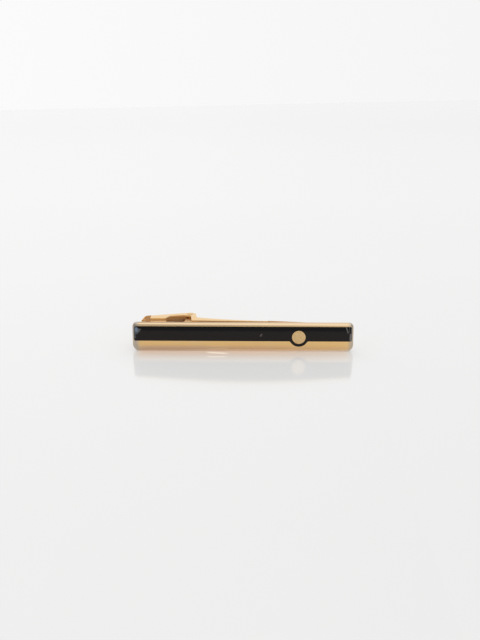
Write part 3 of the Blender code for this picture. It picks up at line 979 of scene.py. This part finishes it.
@dataclass
class SheetPiece(Piece):
    """A piece stamped from sheet and folded to a U."""

    edge: float = 0.07
    edge_angle: float = 60.0
    edge_steps: int = 2
    bend_points: int = 9
    web_points: int = 12
    bend_share: float = 0.98

    def inner_plate(self, name: str) -> GoldPlate:
        """The finish of the sheet's inner side, which is plated but not polished, and painted paler to
        lighten the shade inside the fold.
        """
        # Painted light: a paler colour that lightens the shade inside the fold.
        colour = (0.98, 0.70, 0.37)
        return GoldPlate(name, colour=colour, pale=(0.98, 0.74, 0.42), roughness=0.5, metallic=0.0)

    def folded_rows(self, path: Array, toward: Array, half: Array, wall: Array) -> Array:
        """U-shaped sections carried along a path, each wall, bend, web, bend and wall.

        A bend is a quarter circle: depth r (1 - sin a) and height half - r (1 - cos a). Its
        radius stays below the wall's reach.

        Args:
            path: X and Y of the web's outer skin at each station.
            toward: The way that the walls point, as X and Y, at each station.
            half: Half of the section's width at each station.
            wall: How far the walls reach at each station.

        Returns:
            Rows of points, one for each station.
        """
        radius = np.minimum(self.layout.bend_radius, wall * self.bend_share)[:, None]
        turn = np.linspace(0.0, math.pi / 2.0, self.bend_points)
        half = half[:, None]
        depth = np.hstack([wall[:, None], radius * (1.0 - np.sin(turn))])
        height = np.hstack([half, half - radius * (1.0 - np.cos(turn))])
        web = (half - radius) * np.linspace(1.0, -1.0, self.web_points + 2)[1:-1]
        depth = np.hstack([depth, np.zeros_like(web), depth[:, ::-1]])
        height = np.hstack([height, web, -height[:, ::-1]])
        x = path[:, :1] + toward[:, :1] * depth
        y = path[:, 1:] + toward[:, 1:] * depth
        return np.stack([x, y, self.layout.middle + height], axis=-1)

    def fold(self, name: str, rows: Array, clearance: float) -> bpy.types.Object:
        """A skin given the sheet's thickness on its inner side, eased edges and a hole for the pin.

        Args:
            name: The object's name.
            rows: The folded rows of its outer skin.
            clearance: How much wider than the pin the hole is, on the radius.

        Returns:
            The object, with its first material outside and its second inside.
        """
        obj = new_object(name, rows, grid_faces(*rows.shape[:2], closed=False))
        obj.data.materials.append(None)
        obj.data.materials.append(None)
        sheet = obj.modifiers.new("sheet", "SOLIDIFY")
        sheet.material_offset = 1
        sheet.thickness = self.layout.sheet * MM
        sheet.offset = -1.0
        sheet.use_even_offset = True
        sheet.use_quality_normals = True
        eased = obj.modifiers.new("eased", "BEVEL")
        eased.limit_method = "ANGLE"
        eased.angle_limit = math.radians(self.edge_angle)
        eased.width = self.edge * MM
        eased.segments = self.edge_steps
        apply_modifiers(obj)
        radius = self.layout.pin_radius + clearance
        reach = 2.0 * self.layout.height
        profile = np.array([[radius, -reach], [radius, reach]])
        return carve(obj, ringed_solid("bore", turned_rings(profile, self.layout.pin)))


@dataclass
class Bracket(SheetPiece):
    """The bracket on the bar's back: a floor, low rails, two ears and the walls beside the spring."""

    behind_lip: float = 2.3
    overhang: float = 0.9
    wall_start: float = 6.1
    wall_height: float = 4.1
    wall_rise: float = 0.8
    rail: float = 0.9
    end_points: int = 6
    ear_steps: int = 40
    ramp_points: int = 24
    wall_points: int = 16

    def edge_line(self) -> Array:
        """The free edge of the walls from right to left, as X, Y and half width."""
        place = self.layout
        rail = place.back + self.rail
        ear = place.ear_half_width
        walls = place.wall_half_width
        ear_right = place.pin_x + place.ear_foot
        ear_left = place.pin_x - place.ear_foot
        wall_x = place.pin_x - self.wall_start
        left = place.lip_x + self.behind_lip
        first = in_rows(np.linspace(ear_right + self.overhang, ear_right, self.end_points), rail, ear)
        top = in_rows(*arc(place.pin, place.ear_radius, 0.0, 180.0, self.ear_steps).T, ear)
        x = np.linspace(ear_left, wall_x + place.sheet, self.ramp_points)
        low = in_rows(x, rail, ear + (walls - ear) * ease(x, x[0], x[-1]))
        x = np.linspace(wall_x, left, self.wall_points)
        rise = self.wall_height + self.wall_rise * (x - left) / (wall_x - left)
        high = in_rows(x, place.back + rise, walls)
        return np.concatenate([first, top, low, high])

    def build(self) -> None:
        """Builds the bracket and hands it over."""
        x, edge, half = self.edge_line().T
        floor = self.layout.back + self.layout.solder_gap
        toward = np.tile([0.0, 1.0], (len(x), 1))
        rows = self.folded_rows(in_rows(x, floor), toward, half, edge - floor)
        bracket = self.fold("bracket_sheet", rows, self.layout.solder_gap)
        # Painted light: the bracket's colour is paler than the bar's, to lighten the shade between the bar
        # and the arm.
        plate = GoldPlate("bracket_gold_plate", colour=(0.93, 0.63, 0.30), roughness=0.35, metallic=0.5)
        self.dress(bracket, Slot.CLIP, "hinge_bracket", plate, self.inner_plate("bracket_inner_plate"))
        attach(bracket, "bar")


@dataclass
class Arm(SheetPiece):
    """The rocker: a finger-piece with a lip, a knuckle over the pin and a long toothed jaw."""

    lip_rise: float = 2.5
    lip_radius: float = 1.7
    flange_behind_lip: float = 2.0
    deep_start: float = 6.4
    deep_slope: float = 1.3
    deep_rise: float = 4.3
    flange: float = 2.4
    cheek_reach: float = 2.7
    cheek_end: float = 0.25
    cheek_slope: float = 0.6
    root_rise: float = 5.8
    root_radius: float = 0.7
    tip_from_end: float = 2.5
    tip_rise: float = 1.15
    tip_radius: float = 0.55
    tip_width: float = 6.2
    sweep: float = 2.6
    sweep_root: float = 2.0 / 26.0
    sweep_nose: float = 25.0 / 26.0
    sweep_points: int = 200
    jaw_flange_rise: float = 2.2
    jaw_flange_length: float = 20.6
    jaw_flange_end_rise: float = 1.35
    bite_gap: float = 0.04
    tooth_depth: float = 0.45
    tooth_count: int = 6
    tooth_flat: float = 0.1
    tooth_inset: float = 0.1
    spacing: float = 0.13
    arc_steps: int = 24

    @property
    def tip_x(self) -> float:
        """X of the jaw's tip."""
        return self.layout.side - self.tip_from_end

    @property
    def flange_end(self) -> float:
        """X where the jaw's flanges end."""
        return self.layout.pin_x + self.jaw_flange_length

    def jaw_line(self, root: Array, share: Array) -> Array:
        """The falling line of the jaw: an exponential from its root to its tip's height.

        Args:
            root: X and Y of its root.
            share: Shares of the way to the tip.

        Returns:
            X and Y at each share.
        """
        low = self.layout.back + self.tip_rise
        end = math.exp(-self.sweep)
        fade = (np.exp(-self.sweep * share) - end) / (1.0 - end)
        return np.stack([root[0] + (self.tip_x - root[0]) * share, low + (root[1] - low) * fade], axis=-1)

    def skin(self) -> Array:
        """X and Y of the outer skin, from the lip over the knuckle to the teeth."""
        place = self.layout
        radius = place.knuckle_radius
        steps = self.arc_steps
        lip = np.array([place.lip_x, place.back + self.lip_rise])
        left = place.finger_angle
        bend = fillet(lip, place.finger_corner, place.round_pin(radius, left), self.lip_radius, steps)
        root = np.array([place.pin_x + radius + self.root_radius / 2.0, place.back + self.root_rise])
        right = place.tangent(root, radius, 1.0)
        fall = self.jaw_line(root, np.linspace(0.0, 1.0, self.sweep_points))
        after_root = self.jaw_line(root, np.array(self.sweep_root))
        before_nose = self.jaw_line(root, np.array(self.sweep_nose))
        root_bend = fillet(place.round_pin(radius, right), root, after_root, self.root_radius, steps)
        tip = np.array([self.tip_x, place.back + self.bite_gap])
        tip_corner = np.array([self.tip_x, place.back + self.tip_rise])
        nose = fillet(before_nose, tip_corner, tip, self.tip_radius, steps)
        inside = (fall[:, 0] > root_bend[-1, 0] + place.sheet) & (fall[:, 0] < nose[0, 0] - place.sheet)
        knuckle = arc(place.pin, radius, left, right, 2 * steps)
        path = np.concatenate([[lip], bend, knuckle, root_bend, fall[inside], nose, [tip]])
        return resample(path, self.spacing)

    def half_width(self, x: Array) -> Array:
        """Full width up to the end of the jaw's flanges, then narrower towards the nose."""
        full = self.layout.clip_width / 2.0
        return full + (self.tip_width / 2.0 - full) * ease(x, self.flange_end, self.tip_x)

    def free_edge(self, x: Array, web: Array) -> Array:
        """Y of the walls' free edge: deep part, flange, cheek and jaw, each eased into the next.

        Args:
            x: X of each station.
            web: Y of the web there.

        Returns:
            Y of the edge at each station.
        """
        place = self.layout
        deep_x = place.pin_x - self.deep_start
        deep = place.back + self.deep_rise
        cheek = place.pin[1] - place.knuckle_radius
        right = place.pin_x + self.cheek_end
        share = (x - right) / (self.flange_end - right)
        jaw = self.jaw_flange_rise + (self.jaw_flange_end_rise - self.jaw_flange_rise) * share
        left = deep + (web - self.flange - deep) * ease(x, deep_x, deep_x + self.deep_slope)
        left = left + (cheek - left) * ease(x, place.pin_x - self.cheek_reach, place.pin_x - place.pin_radius)
        return left + (place.back + jaw - left) * ease(x, right, right + self.cheek_slope)

    def rows(self) -> Array:
        """The folded sections along the skin, flanged from behind the lip to the flanges' end."""
        path = self.skin()
        x, y = path.T
        along = unit(np.gradient(path, axis=0))
        square = np.column_stack([along[:, 1], -along[:, 0]])
        past_lip = np.arange(len(path)) > np.argmin(x)
        flanged = (x >= self.layout.lip_x + self.flange_behind_lip) & (x <= self.flange_end) & past_lip
        plain = self.layout.sheet / 2.0
        wall = np.where(flanged, np.maximum(y - self.free_edge(x, y), plain), plain)
        toward = np.where(flanged[:, None], [0.0, -1.0], square)
        return self.folded_rows(path, toward, self.half_width(x), wall)

    def notch(self, z: float, half: float) -> bpy.types.Object:
        """A bar with a diamond section, half of which cuts one notch between two teeth.

        Args:
            z: Z of the notch's middle.
            half: Half of its width.

        Returns:
            The bar.
        """
        y = self.layout.back + self.bite_gap
        depth = self.tooth_depth
        corners = [(y - depth, z), (y, z + half), (y + depth, z), (y, z - half)]
        ends = [self.tip_x - 2.0 * self.layout.sheet, self.tip_x + 2.0 * self.layout.sheet]
        return ringed_solid("notch", np.array([[(x, *corner) for corner in corners] for x in ends]))

    def build(self) -> None:
        """Builds the arm and hands it over."""
        arm = self.fold("rocker_arm", self.rows(), self.layout.running_clearance)
        span = self.tip_width - 2.0 * self.tooth_inset
        half_notch = (span / self.tooth_count - self.tooth_flat) / 2.0
        for z in np.linspace(-span / 2.0, span / 2.0, self.tooth_count + 1):
            carve(arm, self.notch(self.layout.middle + z, half_notch))
        plate = GoldPlate("arm_gold_plate", colour=(0.90, 0.60, 0.27), roughness=0.17, side_metallic=0.35)
        self.dress(arm, Slot.CLIP, "clip_arm", plate, self.inner_plate("arm_inner_plate"))
        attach(arm, "arm")


# Pin and spring


@dataclass
class Pin(Piece):
    """The riveted pin: a shank, and a low dome with a punched centre over each cheek."""

    head_radius: float = 0.8
    head_height: float = 0.13
    punch_radius: float = 0.26
    punch_depth: float = 0.09
    pole: float = 0.01
    dome_shares: Pair = (0.04, 0.98)
    dome_points: int = 30

    def profile(self) -> Array:
        """Radius and height from the middle of the upper head down to that of the lower one."""
        seat = self.layout.clip_width / 2.0 + self.layout.running_clearance
        shares = np.linspace(*self.dome_shares, self.dome_points)
        radius = np.concatenate([[self.pole], shares * self.head_radius])
        dome = self.head_height * np.sqrt(1.0 - (radius / self.head_radius) ** 2)
        dish = self.punch_depth * (1.0 - ease(radius, 0.0, self.punch_radius))
        rim = [[self.head_radius, seat], [self.layout.pin_radius, seat]]
        upper = np.concatenate([in_rows(radius, seat + dome - dish), rim])
        return np.concatenate([upper, upper[::-1] * [1.0, -1.0]]) + [0.0, self.layout.middle]

    def build(self) -> None:
        """Builds the pin and hands it over."""
        pin = ringed_solid("rivet_pin", turned_rings(self.profile(), self.layout.pin))
        plate = GoldPlate("pin_gold_plate", colour=(0.82, 0.53, 0.21), roughness=0.16)
        self.dress(pin, Slot.CLIP, "hinge_pin", plate)
        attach(pin, "bar")


@dataclass
class Spring(Piece):
    """The torsion spring: one leg on the bracket's floor, the coil, and one leg under the web."""

    wire_radius: float = 0.25
    turns: int = 3
    end_gap: float = 0.15
    pin_gap: float = 0.08
    seat_gap: float = 0.03
    fixed_reach: float = 6.8
    moving_reach: float = 7.8
    points_per_turn: int = 40
    sides: int = 16
    leg_points: int = 24
    end_length: float = 0.25
    end_share: float = 0.78

    @property
    def half(self) -> float:
        """From the middle to the centre line of the last turn."""
        walls = min(self.layout.ear_half_width, self.layout.wall_half_width)
        return walls - self.layout.sheet - self.end_gap - self.wire_radius

    def line(self) -> Array:
        """The wire's centre line: a helix round the pin, with straight legs that touch it."""
        place = self.layout
        coil = place.pin_radius + self.pin_gap + self.wire_radius
        seat = place.sheet + self.seat_gap + self.wire_radius
        floor_end = np.array([place.pin_x - self.fixed_reach, place.back + place.solder_gap + seat])
        corner = place.finger_corner
        run = unit(place.round_pin(place.knuckle_radius, place.finger_angle) - corner)
        on_web = corner + run * (place.pin_x - self.moving_reach - corner[0]) / run[0]
        web_end = on_web + np.array([run[1], -run[0]]) * seat
        start = place.tangent(floor_end, coil, 1.0)
        end = place.tangent(web_end, coil, -1.0)
        end += 360.0 * (self.turns + math.ceil((start - end) / 360.0))
        steps = math.ceil((end - start) / 360.0 * self.points_per_turn)
        circle = arc(place.pin, coil, start, end, steps)
        height = np.linspace(-self.half, self.half, steps + 1)
        shares = np.linspace(0.0, 1.0, self.leg_points, endpoint=False)[:, None]
        first = floor_end + (circle[0] - floor_end) * shares
        last = (circle[-1] + (web_end - circle[-1]) * (1.0 - shares))[::-1]
        flat = np.concatenate([first, circle, last])
        z = np.concatenate([np.full(len(first), -self.half), height, np.full(len(last), self.half)])
        return np.column_stack([flat, z + place.middle])

    def rings(self) -> Array:
        """Circles across the wire, eased at its cut ends."""
        line = self.line()
        along = unit(np.gradient(line, axis=0))
        side = unit(np.cross(along, [0.0, 0.0, 1.0]))
        other = np.cross(along, side)
        turn = np.linspace(0.0, 2.0 * math.pi, self.sides, endpoint=False)[None, :, None]
        circle = side[:, None] * np.cos(turn) + other[:, None] * np.sin(turn)
        rings = line[:, None] + circle * self.wire_radius
        ease_length = self.end_length * self.wire_radius
        starts = line[0] - along[0] * ease_length + circle[0] * self.end_share * self.wire_radius
        ends = line[-1] + along[-1] * ease_length + circle[-1] * self.end_share * self.wire_radius
        return np.concatenate([[starts], rings, [ends]])

    def build(self) -> None:
        """Builds the spring and hands it over."""
        spring = ringed_solid("coil_spring", self.rings())
        self.dress(spring, Slot.STEEL, "torsion_spring", SpringSteel("spring_wire_steel"))
        low = (self.layout.middle - self.half) * MM
        high = (self.layout.middle + self.half) * MM
        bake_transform(spring)


# Stage


def hang(obj: bpy.types.Object, place: Vector, way: Vector) -> None:
    """Puts a camera or lamp in the scene at a place in metres, looking along a way."""
    obj.location = place
    obj.rotation_euler = way.to_track_quat("-Z", "Y").to_euler()
    bpy.context.scene.collection.objects.link(obj)


@dataclass(frozen=True)
class Studio:
    """A pale glossy floor, soft light and the photograph's camera. Pixels are of 480 x 640."""

    layout: Layout
    width: float = 480.0
    height: float = 640.0
    focal_pixels: float = 1000.0
    scale: float = 3.884
    bar_x: float = 242.75
    bar_y: float = 337.6
    yaw: float = 1.0
    pitch: float = 14.6
    sensor: float = 36.0
    near_clip: float = 0.01
    floor_size: float = 3000.0
    floor_far_left: float = 687.0
    floor_far_right: float = 2248.0
    floor_colour: Colour = (0.89, 0.89, 0.885)
    # Painted falloff of the light, darker to the right and in front.
    floor_falloff: Colour = (0.85, 0.85, 0.845)
    # Painted warm bounce light from the gold, close to the bar's foot.
    floor_bounce: Colour = (0.93, 0.73, 0.58)
    floor_roughness: float = 0.09
    floor_glow: float = 0.3
    glow_strength: float = 1.03
    streak_colour: Colour = (1.65, 1.55, 1.35)
    streak_left: Pair = (-9.8, -8.2)
    streak_right: Pair = (-3.2, -5.2)
    warp_reach: float = 45.0
    warp_middle: float = 2.0
    warp_half_width: float = 27.0
    warp_curve: float = 0.0005
    backdrop: float = 0.935
    room: float = 0.45
    light: float = 0.86
    lamp_place: tuple[float, float, float] = (0.0, 350.0, 600.0)
    lamp_size: float = 900.0
    lamp_power: float = 1.0

    def camera(self) -> None:
        """Places the camera so that the bar's middle falls on its pixel at the measured scale."""
        yaw, pitch = math.radians(self.yaw), math.radians(self.pitch)
        away = Vector((math.sin(yaw) * math.cos(pitch), -math.cos(yaw) * math.cos(pitch), math.sin(pitch)))
        right = Vector((math.cos(yaw), math.sin(yaw), 0.0))
        up = away.cross(right)
        centre = Vector((0.0, -self.layout.back, self.layout.middle)) * MM
        off_x = (self.bar_x - self.width / 2.0) / self.scale * MM
        off_y = (self.bar_y - self.height / 2.0) / self.scale * MM
        aim = centre - right * off_x + up * off_y
        distance = self.focal_pixels / self.scale * MM
        data = bpy.data.cameras.new("camera")
        data.sensor_fit = "HORIZONTAL"
        data.sensor_width = self.sensor
        data.lens = self.focal_pixels / self.width * self.sensor
        data.clip_start = self.near_clip
        camera = bpy.data.objects.new("camera", data)
        hang(camera, aim + away * distance, -away)
        bpy.context.scene.camera = camera

    def floor_tone(self, paint: Paint) -> Term:
        """The floor's colour, with painted light: a painted falloff, darker to the right and in front, and
        painted warm bounce light from the gold close to the bar's foot.
        """
        side = self.layout.side
        falloff = paint.x.step(-90.0, 90.0) * 0.6 + paint.y.step(120.0, -180.0) * 0.4
        bounce_light = paint.y.step(-10.0, -self.layout.back) * paint.y.step(3.0, 0.0)
        bounce_light = bounce_light * paint.x.size().step(side, side - 3.0) * (paint.x.step(26.0, 2.0) * 0.4 + 0.5)
        return paint.mix(bounce_light, paint.mix(falloff, self.floor_colour, self.floor_falloff), self.floor_bounce)

    def streaks(self, paint: Paint) -> Term:
        """Two short streaks of light that the bar throws on the floor in front of its left half."""
        along = paint.x.step(*self.streak_left) * paint.x.step(*self.streak_right)
        near = (paint.y + paint.x * 0.16 + 3.4).size().step(1.0, 0.2)
        far = (paint.y + 5.75).size().step(0.9, 0.2) * 0.5
        return along * near.largest(far)

    def warp(self, paint: Paint) -> Term:
        """The floor's slight hollow in front of the clip, as a height in millimetres.

        It rises with the square of the distance in front, and falls a little at the clip's ends.
        """
        in_front = paint.y.smallest(0.0).largest(-self.warp_reach)
        across = (paint.x - self.warp_middle) * (1.0 / self.warp_half_width)
        return in_front * in_front * self.warp_curve * (1.0 - across * across * 1.15).largest(-0.3)

    def floor(self) -> None:
        """A flat, glossy, pale floor, which ends in a slanted edge in front of the backdrop."""
        half = self.floor_size / 2.0
        far = [[half, self.floor_far_right, 0.0], [-half, self.floor_far_left, 0.0]]
        points = np.array([[-half, -half, 0.0], [half, -half, 0.0], *far])
        floor = new_object("floor", points, [[0, 1, 2, 3]])
        paint = Paint("pale floor")
        tone = self.floor_tone(paint)
        paint.set(base_color=tone, roughness=self.floor_roughness, specular_ior_level=1.0)
        paint.bump(self.warp(paint), 1.0)
        lit = paint.mix(self.streaks(paint), tone, self.streak_colour)
        glow = paint.node("ShaderNodeEmission", {"Color": lit, "Strength": self.glow_strength})
        share = paint.seen_rays() * self.floor_glow
        paint.blend("Material Output", share, Term(paint.shader.outputs[0]), glow)
        floor.data.materials.append(paint.material)

    def seen_room(self, x: Term, y: Term, z: Term) -> Term:
        """How bright the room is in the direction x, y, z.

        It is bright low behind the clip, and above it towards the right. It is dimmer above to
        the left, in front, and at both sides.
        """
        low = z.step(0.5, 0.3) * y.step(0.0, 0.3)
        high = (y + x * 2.2).step(-0.97, -0.45) * (x * x).step(0.5, 0.1)
        bright = x * -0.11 + self.backdrop + z.step(0.4, 0.7) * 0.13
        return (bright - self.room) * low.largest(high) + self.room

    def world(self) -> None:
        """A white room: what is seen or mirrored has the backdrop's tone, the rest is light."""
        world = bpy.data.worlds.new("studio")
        world.use_nodes = True
        bpy.context.scene.world = world
        nodes = Nodes(world.node_tree)
        room = self.seen_room(*nodes.split(nodes.node("ShaderNodeTexCoord", {}, "Generated")))
        white = (1.0, 1.0, 1.0)
        light, seen = (
            nodes.node("ShaderNodeBackground", {"Color": white, "Strength": strength})
            for strength in (self.light, room)
        )
        nodes.blend("World Output", nodes.seen_rays(), light, seen)

    def lamp(self) -> None:
        """A square soft lamp that faces the clip. What is mirrored is the room alone."""
        data = bpy.data.lights.new("top softbox", "AREA")
        data.shape = "SQUARE"
        data.size = self.lamp_size * MM
        data.energy = self.lamp_power
        lamp = bpy.data.objects.new("top softbox", data)
        lamp.visible_glossy = False
        place = Vector(self.lamp_place) * MM
        hang(lamp, place, -place)

    def build(self) -> None:
        """Sets the whole stage."""
        self.camera()
        self.floor()
        self.world()
        self.lamp()
        bpy.context.scene.view_settings.view_transform = "Standard"


def main() -> None:
    """Builds the clip piece by piece, then the stage."""
    logging.basicConfig(level=logging.INFO, format="%(name)s: %(message)s")
    layout = Layout()
    for kind in (Bar, Bracket, Arm, Pin, Spring, Studio):
        kind(layout).build()


if __name__ == "__main__":
    main()
